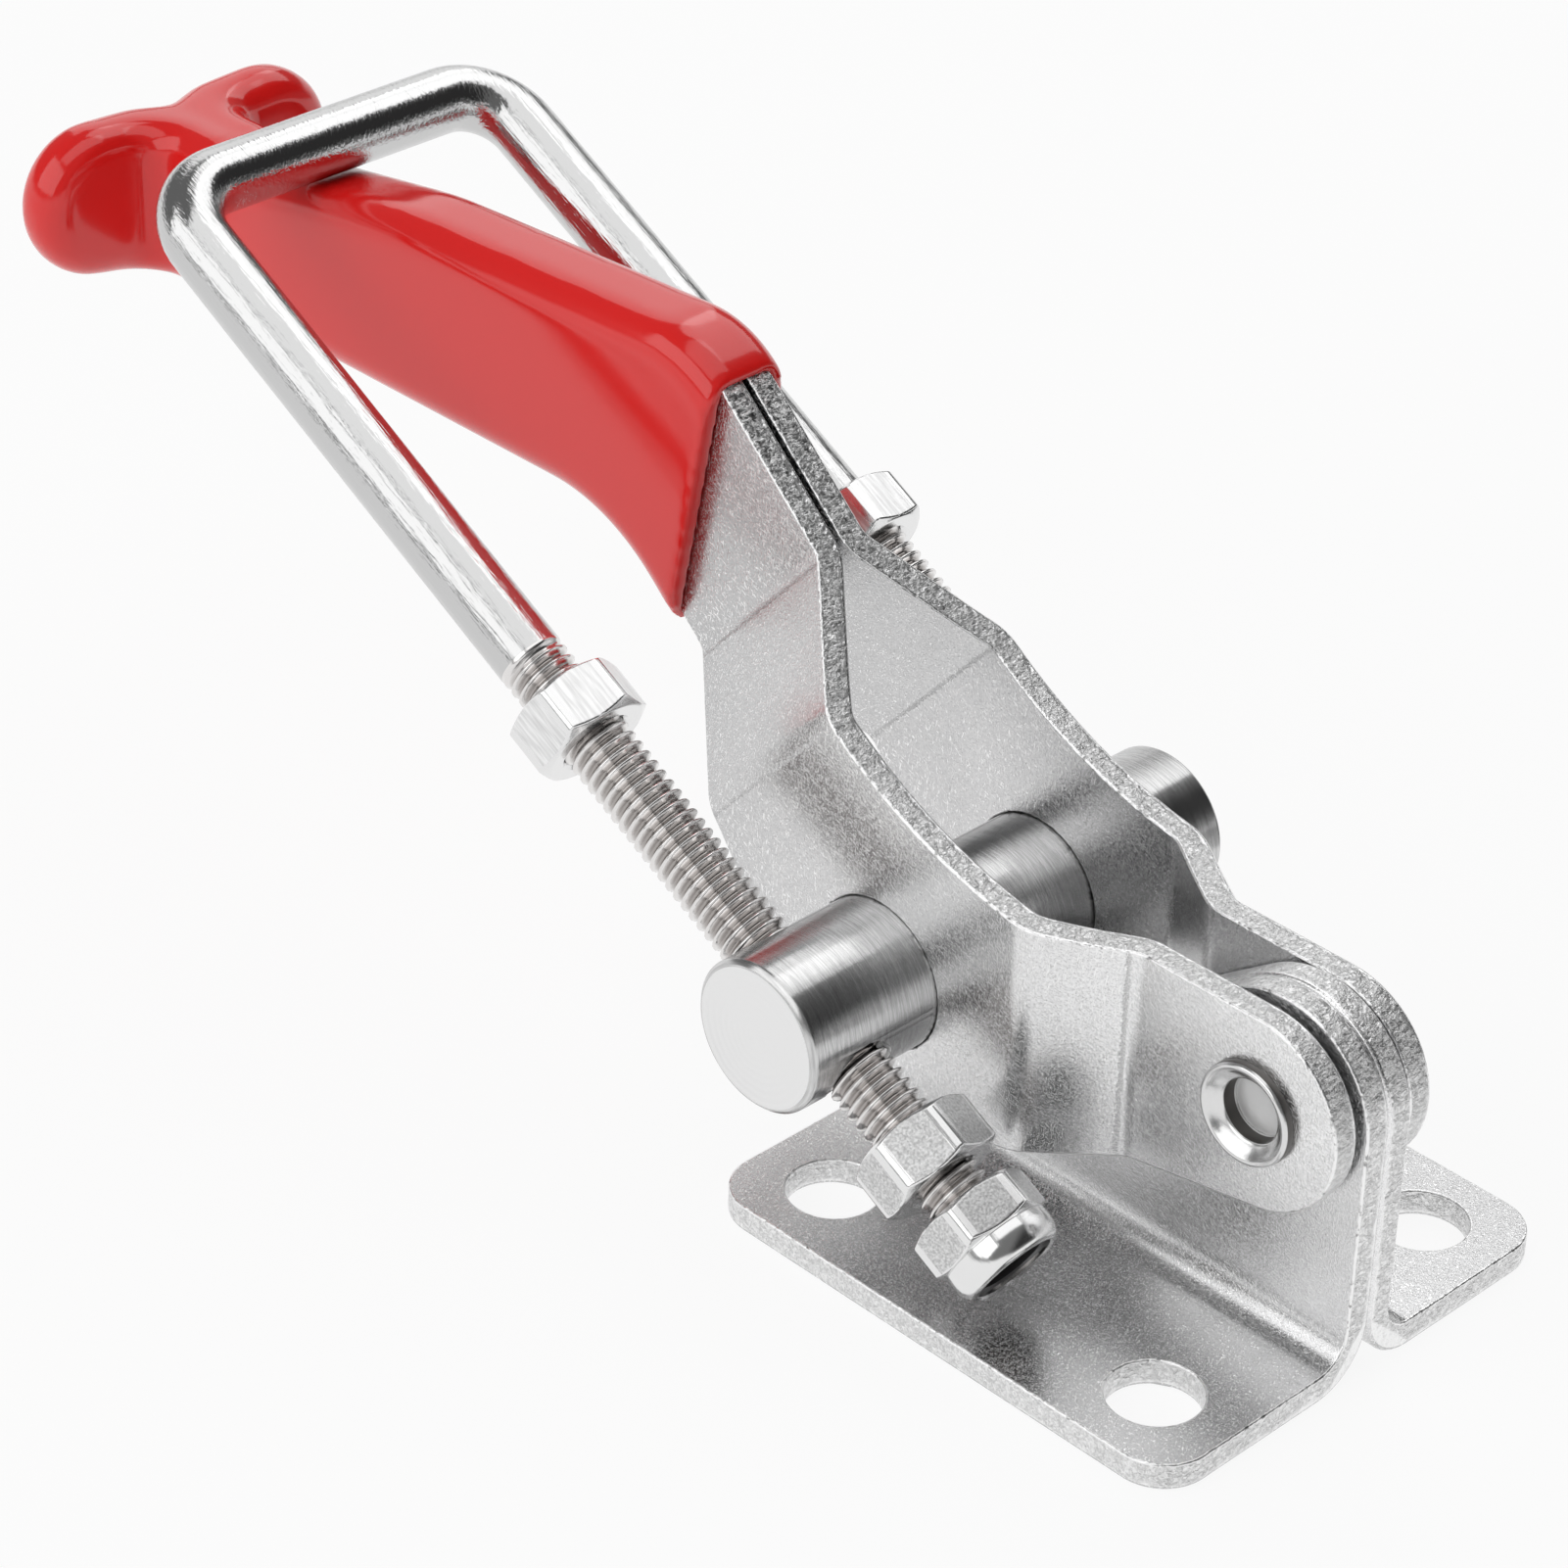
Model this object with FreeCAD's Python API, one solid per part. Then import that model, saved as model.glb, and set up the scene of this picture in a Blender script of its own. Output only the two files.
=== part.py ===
import FreeCAD, Part
import math
import os

# Over centre toggle latch, millimetres. The underside of the base lies on z = 0, with the
# origin at the centre of its four mounting holes. +X points to the handle's pivot, +Z up,
# and +Y is the left-hand side. The latch is shown closed, with its U-bolt on the grip.

Vector = FreeCAD.Vector
X_AXIS = Vector(1, 0, 0)
Y_AXIS = Vector(0, 1, 0)
Z_AXIS = Vector(0, 0, 1)

# Sheet metal, and the play that moving pieces keep from what they rest on
sheet = 3.4
play = 0.3

# Base: two angle brackets, back to back
base_length = 68.0
flange_reach = 31.3
flange_corner = 6.0
base_bend = 4.0
hole_from_end = 10.25
hole_from_side = 9.6
hole_diameter = 10.6

# Handle pivot: the ears are flush with the end of the base
pivot_z = 31.5
ear_radius = 12.2
pivot_lobe = 11.5
pivot_gap = 0.8
rivet_diameter = 9.5
rivet_fit = 0.05
rivet_rim_diameter = 12.0
rivet_rim_height = 1.5
rivet_lip = 0.9
rivet_recess_diameter = 6.4
rivet_recess_depth = 3.0

# Trunnion: the cross pin that carries the U-bolt
trunnion_reach = 47.5
trunnion_drop = 3.9
trunnion_diameter = 18.0
trunnion_overhang = 8.0
trunnion_chamfer = 0.6
trunnion_fit = 0.1
trunnion_lobe = 16.3

# Handle plates: the neck runs up and back from the trunnion, and the tail lies in the grip
plate_seam = 0.6
plate_bend = 3.0
nut_passage = 2.8
spread_angle = 32.0
neck_angle = 42.3
neck_upper = 14.7
neck_lower = 11.8
neck_fold = 24.5
front_fold = 20.0
hollow_round = 62.0
waist_round = 12.0
neck_rise = 44.2
shoulder_round = 14.0
grip_depth = 24.7
heel_round = 25.0
grip_slope = 2.7
brow_reach = 89.0
brow_round = 60.0
saddle_slope = 9.0
tail_reach = 139.0
tail_drop = 6.0
tail_round = 15.0
tab_depth = 17.1
tab_drop = 13.85
tab_reach = 21.2

# Vinyl grip: thick on the faces of the plates, thin on their edges
coat = 2.4
edge_coat = 1.0
mouth_cover = 5.6
mouth_lean = 11.2
skin_round = 3.8
tab_groove = 3.0
tab_fillet = 4.0

# U-bolt
rod_diameter = 7.94
rod_pitch = 48.8
rod_clearance = 0.35
rod_chamfer = 0.8
loop_reach = 121.5
loop_bend = 7.6

# Nuts. A place is how far a nut's upper face is up the rod from the trunnion's axis, and a
# turn is the angle of the nut's first corner in degrees.
nut_across_flats = 13.0
nut_height = 6.75
nut_face_share = 0.95
nut_chamfer_angle = 30.0
thread_play = 0.02
upper_nut_places = {"left": 51.6, "right": 45.1}
lower_nut_gap = 3.35
lock_nut_clearance = 0.65
upper_nut_turns = {"left": 51.0, "right": 16.0}
lower_nut_turns = {"left": 24.0, "right": 36.0}
lock_nut_turns = {"left": 7.0, "right": 20.0}
lock_nut_height = 8.7
lock_hex_height = 5.2
collar_diameter = 12.9
collar_round = 1.6
collar_lip = 0.8
collar_mouth = 9.6
insert_diameter = 10.4
insert_height = 2.0
rod_end_inset = 1.2

# Worked out from the sizes above
rod_radius = rod_diameter / 2
rod_offset = rod_pitch / 2
nut_corner = nut_across_flats / math.sqrt(3)
spread = rod_offset - nut_corner - nut_passage - sheet
base_end = base_length / 2
pivot_x = base_end - ear_radius
trunnion_radius = trunnion_diameter / 2
trunnion_x = pivot_x - trunnion_reach
trunnion_z = pivot_z - trunnion_drop
pivot = Vector(pivot_x, 0, pivot_z)
trunnion = Vector(trunnion_x, 0, trunnion_z)
pivot_face = sheet + pivot_gap
tail_x = trunnion_x - tail_reach
tab_round = tab_depth / 2
neck = math.radians(neck_angle)
neck_lift = (neck_fold + neck_rise) * math.sin(neck)
shoulder_height = trunnion_z + neck_upper * math.cos(neck) + neck_lift
tab_middle = shoulder_height - tab_drop
tail_height = shoulder_height - tail_drop
heel_height = shoulder_height - grip_depth
far = 4 * (base_length + tail_reach)


def unit(du, dv):
    """Direction of a step in a flat outline."""
    size = math.hypot(du, dv)
    return du / size, dv / size


def meet(start, angle, other, other_angle):
    """Point where two lines cross, each through a point at an angle in degrees."""
    au, av = math.cos(math.radians(angle)), math.sin(math.radians(angle))
    bu, bv = math.cos(math.radians(other_angle)), math.sin(math.radians(other_angle))
    du, dv = other[0] - start[0], other[1] - start[1]
    run = (du * bv - dv * bu) / (au * bv - av * bu)
    return start[0] + run * au, start[1] + run * av


def corner_round(before, corner, after, radius):
    """Round that fills a corner: its centre and radius, negative where the path turns right."""
    au, av = unit(before[0] - corner[0], before[1] - corner[1])
    bu, bv = unit(after[0] - corner[0], after[1] - corner[1])
    half = math.acos(au * bu + av * bv) / 2
    mu, mv = unit(au + bu, av + bv)
    reach = radius / math.sin(half)
    turns_left = av * bu - au * bv > 0
    return corner[0] + mu * reach, corner[1] + mv * reach, radius if turns_left else -radius


def outline(rounds, place):
    """Face whose edge runs anticlockwise, tangent to each round (u, v, radius).

    A radius of 0 is a sharp corner, and a negative radius is a hollow."""
    lines = []
    for index, (u, v, radius) in enumerate(rounds):
        next_u, next_v, next_radius = rounds[(index + 1) % len(rounds)]
        tu, tv = unit(next_u - u, next_v - v)
        lean = (next_radius - radius) / math.hypot(next_u - u, next_v - v)
        square = math.sqrt(1 - lean * lean)
        nu = lean * tu - square * tv
        nv = lean * tv + square * tu
        lines.append(((u - radius * nu, v - radius * nv),
                      (next_u - next_radius * nu, next_v - next_radius * nv)))
    edges = []
    for index, (u, v, radius) in enumerate(rounds):
        arrive = lines[index - 1][1]
        leave, goal = lines[index]
        if radius:
            start = math.atan2(arrive[1] - v, arrive[0] - u)
            end = math.atan2(leave[1] - v, leave[0] - u)
            sweep = (end - start) % math.tau
            if radius < 0:
                sweep = sweep - math.tau
            middle = start + sweep / 2
            halfway = (u + abs(radius) * math.cos(middle), v + abs(radius) * math.sin(middle))
            edges.append(Part.Arc(place(*arrive), place(*halfway), place(*leave)).toShape())
        edges.append(Part.makeLine(place(*leave), place(*goal)))
    return Part.Face(Part.Wire(edges))


def sheet_profile(path, bend):
    """Rounds for the section of a folded sheet that lies on the left of a path."""
    ahead = []
    back = []
    for index, (u, v) in enumerate(path):
        before = path[max(index - 1, 0)]
        after = path[min(index + 1, len(path) - 1)]
        if before == (u, v) or after == (u, v):
            tu, tv = unit(after[0] - before[0], after[1] - before[1])
            ahead.append((u, v, 0))
            back.append((u - tv * sheet, v + tu * sheet, 0))
            continue
        turns_left = (u - before[0]) * (after[1] - v) > (v - before[1]) * (after[0] - u)
        radius = bend + sheet if turns_left else bend
        centre_u, centre_v, signed = corner_round(before, (u, v), after, radius)
        ahead.append((centre_u, centre_v, signed))
        back.append((centre_u, centre_v, -bend if turns_left else bend + sheet))
    return ahead + back[::-1]


def in_plane(origin, across, along):
    """Function that puts flat (u, v) points into space."""
    return lambda u, v: origin + across * u + along * v


def side_prism(rounds, low_y=-far, high_y=far):
    """Solid with a side-view outline (x, z) between two places across the latch."""
    face = outline(rounds, in_plane(Y_AXIS * low_y, X_AXIS, Z_AXIS))
    return face.extrude(Y_AXIS * (high_y - low_y))


def plan_prism(rounds, low_z=-far, high_z=far):
    """Solid with a plan outline (x, y) between two heights."""
    face = outline(rounds, in_plane(Z_AXIS * low_z, X_AXIS, Y_AXIS))
    return face.extrude(Z_AXIS * (high_z - low_z))


def end_prism(rounds, low_x, high_x):
    """Solid with an end-view outline (y, z) between two places along the latch."""
    face = outline(rounds, in_plane(X_AXIS * low_x, Y_AXIS, Z_AXIS))
    return face.extrude(X_AXIS * (high_x - low_x))


def slab(low_x, high_x):
    """Block that holds all that lies between two places along the latch."""
    return Part.makeBox(high_x - low_x, 2 * far, 2 * far, Vector(low_x, -far, -far))


def cross_bore(centre, radius):
    """Cylinder right across the latch, to cut a hole."""
    return Part.makeCylinder(radius, 2 * far, centre - Y_AXIS * far, Y_AXIS)


def turned(rounds, origin, axis, across):
    """Solid turned about an axis, from an outline of (radius, distance along the axis)."""
    return outline(rounds, in_plane(origin, across, axis)).revolve(origin, axis, 360)


def mirrored(shape):
    """The same piece for the right-hand side."""
    return shape.mirror(Vector(0, 0, 0), Y_AXIS)


def base_bracket():
    """Left angle bracket: a flange with two holes, and a web that ends in the pivot ear.

    The low part of the web is the seat that the trunnion comes down on."""
    section = sheet_profile([(0, base_length), (0, 0), (flange_reach, 0)], base_bend)
    angle = end_prism(section, -base_end, base_end)
    seat = trunnion_z - trunnion_radius - play
    ramp_foot = (trunnion_x + trunnion_radius, seat)
    ramp_top = (pivot_x - ear_radius, pivot_z + ear_radius)
    web = side_prism([
        (base_end, 0, 0),
        (pivot_x, pivot_z, ear_radius),
        corner_round(ramp_top, ramp_foot, (-base_end, seat), flange_corner),
        corner_round(ramp_foot, (-base_end, seat), (-base_end, 0), flange_corner),
        (-base_end, 0, 0),
    ])
    corner_x = base_end - flange_corner
    corner_y = flange_reach - flange_corner
    flange = plan_prism([
        (-base_end, -sheet, 0),
        (base_end, -sheet, 0),
        (corner_x, corner_y, flange_corner),
        (-corner_x, corner_y, flange_corner),
    ])
    bracket = angle.common(web).common(flange)
    hole_x = base_end - hole_from_end
    hole_y = flange_reach - hole_from_side
    for x in (-hole_x, hole_x):
        hole = Part.makeCylinder(hole_diameter / 2, 3 * sheet, Vector(x, hole_y, -sheet))
        bracket = bracket.cut(hole)
    return bracket.cut(cross_bore(pivot, rivet_diameter / 2 + rivet_fit))


# Side view of the handle plates
neck_along = Vector(math.cos(neck), 0, -math.sin(neck))
neck_across = Vector(math.sin(neck), 0, math.cos(neck))
upper_edge = trunnion + neck_across * neck_upper
lower_edge = trunnion - neck_across * neck_lower
waist_point = lower_edge - neck_along * neck_fold
upper_point = (upper_edge.x, upper_edge.z)
lower_point = (lower_edge.x, lower_edge.z)
hollow = meet(upper_point, -neck_angle, (pivot_x, pivot_z + pivot_lobe), 0)
shoulder = meet(upper_point, -neck_angle, (pivot_x, shoulder_height), 0)
heel = meet(lower_point, -neck_angle, (pivot_x, heel_height), 0)
waist = (waist_point.x, waist_point.z)
brow = meet(shoulder, grip_slope, (trunnion_x - brow_reach, 0), 90)
tab_root = tail_x + 2 * sheet
saddle = meet(brow, saddle_slope, (tail_x, tail_height), 0)


def handle_outline(skin):
    """Side outline of the handle plates, grown by the thickness of a skin."""
    lobe_side = meet(waist, neck_angle - 90, (trunnion_x - trunnion_lobe, 0), 90)
    rounds = [
        (trunnion_x, trunnion_z, trunnion_lobe),
        (pivot_x, pivot_z, pivot_lobe),
        corner_round((pivot_x, hollow[1]), hollow, shoulder, hollow_round),
        corner_round(hollow, shoulder, brow, shoulder_round),
        corner_round(shoulder, brow, saddle, brow_round),
        corner_round(brow, saddle, (tail_x, tail_height), tail_round),
        (tail_x - sheet, tail_height, 0),
        (tail_x - sheet, heel_height, 0),
        corner_round((tail_x, heel_height), heel, waist, heel_round),
        corner_round(heel, waist, lobe_side, waist_round),
    ]
    return [(x, z, radius + skin) for x, z, radius in rounds]


def tab_outline(skin):
    """End outline (y, z) of the tabs: a round ear on each side of the lower, narrower tail."""
    centre = tab_reach - tab_round
    return [
        (-centre, tab_middle, tab_round + skin),
        (0, heel_height + tab_round, tab_round + skin),
        (centre, tab_middle, tab_round + skin),
        (0, tail_height + tab_round, skin - tab_round),
    ]


def handle_plate():
    """Left handle plate: spread out past the trunnion, with a tab turned out at its tail."""
    seam = plate_seam / 2
    slope = math.tan(math.radians(spread_angle))
    neck_ramp = (spread - seam) / slope
    front_ramp = (spread - pivot_face) / slope
    tail_split = shoulder[0] - shoulder_round
    neck_path = [(-far, seam), (-neck_fold - neck_ramp, seam), (-neck_fold, spread), (far, spread)]
    neck_start = trunnion - neck_across * far
    neck_face = outline(sheet_profile(neck_path, plate_bend),
                        in_plane(neck_start, neck_along, Y_AXIS))
    neck_part = neck_face.extrude(neck_across * 2 * far).common(slab(tail_split, trunnion_x))
    front_path = [
        (trunnion_x - far, spread),
        (trunnion_x + front_fold, spread),
        (trunnion_x + front_fold + front_ramp, pivot_face),
        (far, pivot_face),
    ]
    front_part = plan_prism(sheet_profile(front_path, plate_bend)).common(slab(trunnion_x, far))
    tail_path = [(tail_x, tab_reach), (tail_x, seam), (tail_split, seam)]
    tail_sheet = plan_prism(sheet_profile(tail_path, plate_bend))
    tail_part = tail_sheet.common(slab(tab_root, tail_split))
    tab_shape = end_prism(tab_outline(0), tail_x - sheet, tab_root)
    flat = side_prism(handle_outline(0))
    plate = neck_part.common(flat)
    for section in (front_part.common(flat), tail_part.common(flat), tail_sheet.common(tab_shape)):
        plate = plate.fuse(section)
    plate = plate.removeSplitter()
    plate = plate.cut(cross_bore(trunnion, trunnion_radius + trunnion_fit))
    return plate.cut(cross_bore(pivot, rivet_diameter / 2))


def pivot_rivet():
    """Rivet through both ears, with its hollow ends flared over the plates."""
    face = pivot_face + sheet
    crown = face + rivet_rim_height
    rim = rivet_rim_diameter / 2
    recess = rivet_recess_diameter / 2
    half = turned([
        (0, 0, 0),
        (rivet_diameter / 2, 0, 0),
        (rivet_diameter / 2, face, 0),
        (rim, face, 0),
        (rim - rivet_lip, crown - rivet_lip, rivet_lip),
        (recess, crown - rivet_recess_depth, 0),
        (0, crown - rivet_recess_depth, 0),
    ], pivot, Y_AXIS, X_AXIS)
    return half.fuse(mirrored(half)).removeSplitter()


# The U-bolt leans back so that its closed end lies just above the grip, behind the brow
saddle_lean = math.radians(saddle_slope)
saddle_normal = Vector(-math.sin(saddle_lean), 0, math.cos(saddle_lean))
brow_height = Vector(brow[0] - trunnion_x, 0, brow[1] - trunnion_z).dot(saddle_normal)
loop_height = brow_height + edge_coat + play + rod_radius
rod_lean = math.asin(loop_height / loop_reach) - saddle_lean
rod_up = Vector(-math.cos(rod_lean), 0, math.sin(rod_lean))
rod_side = Vector(math.sin(rod_lean), 0, math.cos(rod_lean))

# The lock nuts stop just above the flanges
lock_nut_room = trunnion_z - sheet - lock_nut_clearance - nut_corner * math.cos(rod_lean)
lock_nut_place = lock_nut_height - lock_nut_room / math.sin(rod_lean)
lower_nut_place = lock_nut_place + lower_nut_gap + nut_height


def on_rod(place, side=1):
    """Point on a leg of the U-bolt, at a distance up it from the trunnion's axis."""
    return trunnion + rod_up * place + Y_AXIS * (side * rod_offset)


def trunnion_pin():
    """Cross pin with a clearance hole for each leg of the U-bolt."""
    half = rod_offset + trunnion_overhang
    pin = turned([
        (0, -half, 0),
        (trunnion_radius - trunnion_chamfer, -half, 0),
        (trunnion_radius, -half + trunnion_chamfer, 0),
        (trunnion_radius, half - trunnion_chamfer, 0),
        (trunnion_radius - trunnion_chamfer, half, 0),
        (0, half, 0),
    ], trunnion, Y_AXIS, X_AXIS)
    for side in (-1, 1):
        start = on_rod(-trunnion_diameter, side)
        pin = pin.cut(Part.makeCylinder(rod_radius + rod_clearance, 2 * trunnion_diameter, start, rod_up))
    return pin


def u_bolt():
    """Round rod bent to a U, with chamfered ends."""
    end = lock_nut_place - lock_nut_height + rod_end_inset
    turn = loop_reach - loop_bend
    bend_step = Y_AXIS * loop_bend
    bulge = loop_bend * math.sqrt(0.5)
    edges = [Part.makeLine(on_rod(end), on_rod(turn))]
    corners = []
    for side in (1, -1):
        centre = on_rod(turn, side) - bend_step * side
        middle = centre + rod_up * bulge + Y_AXIS * (bulge * side)
        corners.append((on_rod(turn, side), middle, centre + rod_up * loop_bend))
    edges.append(Part.Arc(*corners[0]).toShape())
    edges.append(Part.makeLine(corners[0][2], corners[1][2]))
    edges.append(Part.Arc(*corners[1][::-1]).toShape())
    edges.append(Part.makeLine(on_rod(turn, -1), on_rod(end, -1)))
    section = Part.Wire(Part.makeCircle(rod_radius, on_rod(end), rod_up))
    rod = Part.Wire(edges).makePipeShell([section], True, False)
    ends = [edge for edge in rod.Edges
            if abs((edge.CenterOfMass - trunnion).dot(rod_up) - end) < rod_chamfer]
    return rod.makeChamfer(rod_chamfer, ends)


def hexagon(place, side, height, turn):
    """Plain hexagonal bar that runs down a leg from a place on it."""
    corners = []
    for step in range(6):
        angle = math.radians(60 * step + turn)
        corners.append((nut_corner * math.cos(angle), nut_corner * math.sin(angle), 0))
    face = outline(corners, in_plane(on_rod(place, side), Y_AXIS, rod_side))
    return face.extrude(rod_up * -height)


def nut_blank(place, side, height, turn):
    """Hexagon with its corners turned off at both ends."""
    face = nut_face_share * nut_across_flats / 2
    bevel = (nut_corner - face) * math.tan(math.radians(nut_chamfer_angle))
    dome = turned([(0, 0, 0), (face, 0, 0), (nut_corner, bevel, 0), (nut_corner, height - bevel, 0),
                   (face, height, 0), (0, height, 0)], on_rod(place, side), rod_up * -1, Y_AXIS)
    return hexagon(place, side, height, turn).common(dome)


def hex_nut(place, side, turn):
    """Plain hexagon nut on a leg."""
    bore = Part.makeCylinder(rod_radius + thread_play, 3 * nut_height,
                             on_rod(place + nut_height, side), rod_up * -1)
    return nut_blank(place, side, nut_height, turn).cut(bore)


def lock_nut(side, turn):
    """Hexagon nut with a round collar, crimped over the ring inside it."""
    rim = collar_diameter / 2
    mouth = collar_mouth / 2
    seat = insert_diameter / 2
    inner = rod_radius + thread_play
    ring_top = lock_nut_height - collar_lip - insert_height
    collar = turned([
        (inner, lock_hex_height - collar_round, 0),
        (rim, lock_hex_height - collar_round, 0),
        (rim - collar_round, lock_nut_height - collar_round, collar_round),
        (mouth, lock_nut_height, 0),
        (mouth, lock_nut_height - collar_lip, 0),
        (seat, lock_nut_height - collar_lip, 0),
        (seat, ring_top, 0),
        (inner, ring_top, 0),
    ], on_rod(lock_nut_place, side), rod_up * -1, Y_AXIS)
    blank = nut_blank(lock_nut_place, side, lock_hex_height, turn)
    bore = Part.makeCylinder(inner, 3 * nut_height,
                             on_rod(lock_nut_place + nut_height, side), rod_up * -1)
    return blank.cut(bore).fuse(collar).removeSplitter()


def lock_nut_insert(side):
    """Ring in the lock nut's collar that grips the thread."""
    ring_top = lock_nut_height - collar_lip - insert_height
    return turned([
        (rod_radius + thread_play, ring_top, 0),
        (insert_diameter / 2, ring_top, 0),
        (insert_diameter / 2, ring_top + insert_height, 0),
        (rod_radius + thread_play, ring_top + insert_height, 0),
    ], on_rod(lock_nut_place, side), rod_up * -1, Y_AXIS)


def handle_grip(plates):
    """Vinyl skin dipped over the tail of both plates and their tabs."""
    half = plate_seam / 2 + sheet + coat
    stem = side_prism(handle_outline(edge_coat), -half, half)
    lean = math.tan(math.radians(mouth_lean))
    mouth = shoulder[0] + mouth_cover
    keep = side_prism([
        (-far, 0, 0),
        (mouth - lean * shoulder_height, 0, 0),
        (mouth + lean * shoulder_height, 2 * shoulder_height, 0),
        (-far, 2 * shoulder_height, 0),
    ])
    tail_end = tail_x + sheet
    stem = stem.common(keep).common(slab(tail_end, far))
    rims = [edge for edge in stem.Edges if abs(abs(edge.CenterOfMass.y) - half) < play
            and edge.BoundBox.YLength < play and edge.CenterOfMass.x > tail_end + play
            and not on_mouth(edge, mouth, lean)]
    stem = stem.makeFillet(skin_round, rims)
    bar = tab_skin(half)
    skin = stem.fuse(bar).removeSplitter()
    gap = side_prism(handle_outline(0), -plate_seam / 2, plate_seam / 2).common(slab(tab_root, far))
    return skin.cut(plates[0]).cut(plates[1]).cut(gap)


def tab_skin(half):
    """Skin over both tabs, with a groove at the back where the plates turn apart."""
    front = tail_x + sheet + coat
    rear = tail_x - coat
    end = tab_reach + edge_coat
    bend = plate_bend + sheet
    bend_x = tail_x + bend
    bend_y = plate_seam / 2 + bend
    reach = bend + coat + tab_groove + play
    groove_x = bend_x - math.sqrt(reach * reach - bend_y * bend_y)
    neck_x = front + 2 * tab_fillet
    plan = plan_prism([
        (rear, -end, 0),
        (front, -end, 0),
        corner_round((front, -end), (front, -half), (neck_x, -half), tab_fillet),
        (neck_x, -half, 0),
        (neck_x, half, 0),
        corner_round((neck_x, half), (front, half), (front, end), tab_fillet),
        (front, end, 0),
        (rear, end, 0),
        (bend_x, bend_y, bend + coat),
        (groove_x, 0, -tab_groove),
        (bend_x, -bend_y, bend + coat),
    ])
    bar = end_prism(tab_outline(edge_coat), rear - coat, neck_x + coat).common(plan)
    rims = [edge for edge in bar.Edges if edge.CenterOfMass.x < neck_x - play
            and (edge.BoundBox.YLength > play or edge.BoundBox.XMin > front)
            and (edge.BoundBox.ZLength < play or edge.BoundBox.YLength > play)]
    return bar.makeFillet(skin_round, rims)


def on_mouth(edge, mouth, lean):
    """Whether an edge lies in the plane of the grip's mouth."""
    centre = edge.CenterOfMass
    return abs(centre.x - mouth - lean * (centre.z - shoulder_height)) < play


def single(shape):
    """The one solid that a shape holds."""
    solids = shape.Solids
    if len(solids) != 1:
        raise ValueError("expected one solid, found %d" % len(solids))
    return solids[0]


left_bracket = single(base_bracket())
left_plate = single(handle_plate())
right_plate = mirrored(left_plate)
nodes = {
    "base_bracket_left": left_bracket,
    "base_bracket_right": mirrored(left_bracket),
    "handle_plate_left": left_plate,
    "handle_plate_right": right_plate,
    "pivot_rivet": single(pivot_rivet()),
    "handle_grip": single(handle_grip([left_plate, right_plate])),
    "trunnion_pin": single(trunnion_pin()),
    "u_bolt": single(u_bolt()),
}
for name, side in (("left", 1), ("right", -1)):
    upper_place = upper_nut_places[name]
    nodes["upper_nut_" + name] = single(hex_nut(upper_place, side, upper_nut_turns[name]))
    nodes["lower_nut_" + name] = single(hex_nut(lower_nut_place, side, lower_nut_turns[name]))
    nodes["lock_nut_" + name] = single(lock_nut(side, lock_nut_turns[name]))
    nodes["lock_nut_insert_" + name] = single(lock_nut_insert(side))

os.makedirs("parts", exist_ok=True)
for name, shape in nodes.items():
    shape.exportStep("parts/" + name + ".step")
    box = shape.BoundBox
    print("%-24s %8.0f mm3  x %7.1f %7.1f  y %6.1f %6.1f  z %6.1f %6.1f  %s" % (
        name, shape.Volume, box.XMin, box.XMax, box.YMin, box.YMax, box.ZMin, box.ZMax,
        "valid" if shape.isValid() else "NOT VALID"))
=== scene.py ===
# %% [markdown]
# An over centre toggle latch: two folded brackets, two bent handle plates with a dipped vinyl
# grip, a cross pin and a threaded U-bolt with its nuts. The CAD model is loaded first and stays
# as it is. What follows gives each of its pieces the detail and the finish of the real one.

# %% Load the CAD model
import math
import bpy
from mathutils import Matrix, Vector


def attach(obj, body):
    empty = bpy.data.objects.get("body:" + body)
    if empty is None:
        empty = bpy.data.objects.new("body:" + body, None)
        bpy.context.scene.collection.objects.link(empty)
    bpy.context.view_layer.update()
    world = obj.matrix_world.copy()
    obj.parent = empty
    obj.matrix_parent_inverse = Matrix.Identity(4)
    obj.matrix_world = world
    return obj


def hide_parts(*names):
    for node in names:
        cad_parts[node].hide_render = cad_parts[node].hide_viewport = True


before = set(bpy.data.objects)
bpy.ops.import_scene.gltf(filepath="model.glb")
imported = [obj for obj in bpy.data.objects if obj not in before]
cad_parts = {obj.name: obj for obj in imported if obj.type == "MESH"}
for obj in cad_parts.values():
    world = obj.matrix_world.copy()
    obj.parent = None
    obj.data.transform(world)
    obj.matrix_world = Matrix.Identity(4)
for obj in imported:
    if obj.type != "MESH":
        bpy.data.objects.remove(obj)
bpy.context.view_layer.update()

# %% [markdown]
# Blender works in metres and the latch is measured in millimetres, so lengths are written in
# millimetres and multiplied by mm. An operator acts on everything that is selected, so each
# step first makes one piece the only selected one. A finished piece rides on the CAD body it
# belongs to and stands for its CAD node.

# %% Choosing a piece and putting it in its place
mm = 0.001
weld = 0.002 * mm


def pick(piece):
    """Makes one piece the only selected and active one."""
    bpy.ops.object.select_all(action="DESELECT")
    piece.select_set(True)
    bpy.context.view_layer.objects.active = piece


def fit(piece, body, node):
    """Lets a finished piece stand for a CAD node."""
    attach(piece, body)
    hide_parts(node)
    piece.data.calc_loop_triangles()
    print(piece.name, "stands for", node, "with", len(piece.data.loop_triangles), "triangles")


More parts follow.
